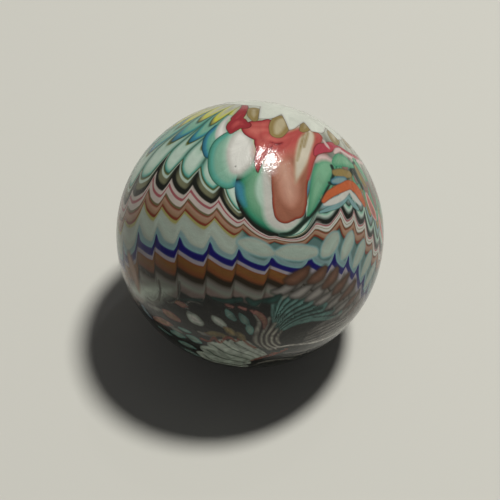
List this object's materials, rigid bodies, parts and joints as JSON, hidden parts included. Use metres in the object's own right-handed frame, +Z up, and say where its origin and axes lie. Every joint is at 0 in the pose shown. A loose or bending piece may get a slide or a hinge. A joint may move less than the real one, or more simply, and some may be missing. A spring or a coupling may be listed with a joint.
{
  "type": "glass marble",
  "caption": "Solid glass ball with raked bands of white, mint, navy, amber, rose, red and green glass, for display or play.",
  "frame": {"origin": "centre of the ball", "axes": "+Z up as the ball lies in the picture, -Y towards the side that the picture was taken from, +X to its right"},
  "size_m": [0.044, 0.044, 0.044],
  "materials": {
    "raked_glass": "fire-polished fused glass, opaque coloured bands over clear glass"
  },
  "bodies": {
    "root": {"marble": "raked_glass"}
  },
  "joints": []
}
